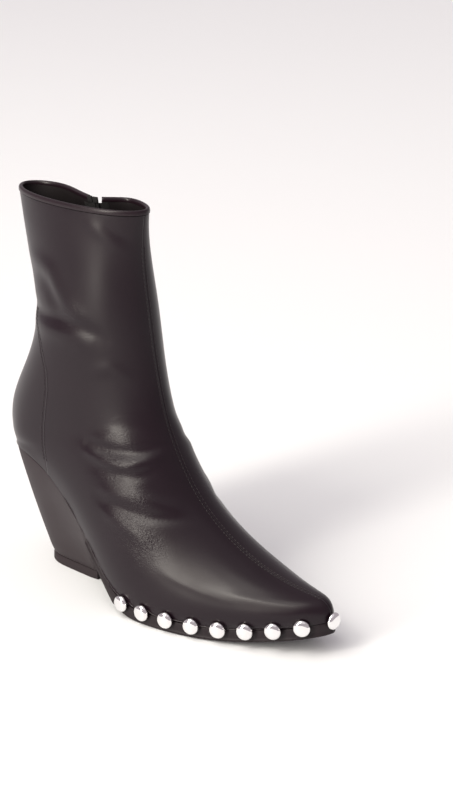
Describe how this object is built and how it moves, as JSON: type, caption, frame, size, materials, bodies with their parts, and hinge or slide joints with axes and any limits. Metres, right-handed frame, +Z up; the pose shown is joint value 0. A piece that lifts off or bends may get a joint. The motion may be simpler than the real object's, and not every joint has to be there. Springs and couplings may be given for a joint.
{
  "type": "western ankle boot",
  "caption": "Pointed western ankle boot for the right foot, black leather, slanted block heel, inner side zip and a row of round chrome studs round the toe.",
  "frame": {"origin": "centre of the heel's tread, on the floor the boot stands on", "axes": "+X towards the toe, +Y towards the inner side of the foot, +Z up"},
  "size_m": [0.2579, 0.0858, 0.239],
  "materials": {
    "black_leather": "smooth glossy black leather with a fine grain",
    "binding_leather": "glossy black leather, turned over the edge",
    "sole_cover": "black leather cover on the sole's edge, satin",
    "insole_sock": "black woven sock lining, matt",
    "heel_cover": "matt black cover on the heel block",
    "lift_rubber": "matt black rubber",
    "zip_cloth": "black woven tape",
    "zip_teeth": "black plastic teeth",
    "zip_metal": "black plated metal",
    "pull_metal": "black plated metal",
    "stud_chrome": "polished chrome"
  },
  "bodies": {
    "boot": {"upper": "black_leather", "collar_binding": "binding_leather", "outsole": "sole_cover", "insole": "insole_sock", "heel": "heel_cover", "heel_top_piece": "lift_rubber", "zip_tape_front": "zip_cloth", "zip_tape_back": "zip_cloth", "zip_chain": "zip_teeth", "zip_slider": "zip_metal", "stud_tip": "stud_chrome", "stud_lateral_1": "stud_chrome", "stud_lateral_2": "stud_chrome", "stud_lateral_3": "stud_chrome", "stud_lateral_4": "stud_chrome", "stud_lateral_5": "stud_chrome", "stud_lateral_6": "stud_chrome", "stud_lateral_7": "stud_chrome", "stud_lateral_8": "stud_chrome", "stud_medial_1": "stud_chrome", "stud_medial_2": "stud_chrome", "stud_medial_3": "stud_chrome", "stud_medial_4": "stud_chrome", "stud_medial_5": "stud_chrome", "stud_medial_6": "stud_chrome", "stud_medial_7": "stud_chrome", "stud_medial_8": "stud_chrome"},
    "pull": {"zip_pull": "pull_metal"}
  },
  "joints": [
    {"name": "zip_pull_tilt", "type": "hinge", "parent": "boot", "child": "pull", "pos_m": [0.01213, 0.00778, 0.22557], "axis": [0.9966, 0.0783, 0.024], "range_deg": [0, 150]}
  ]
}
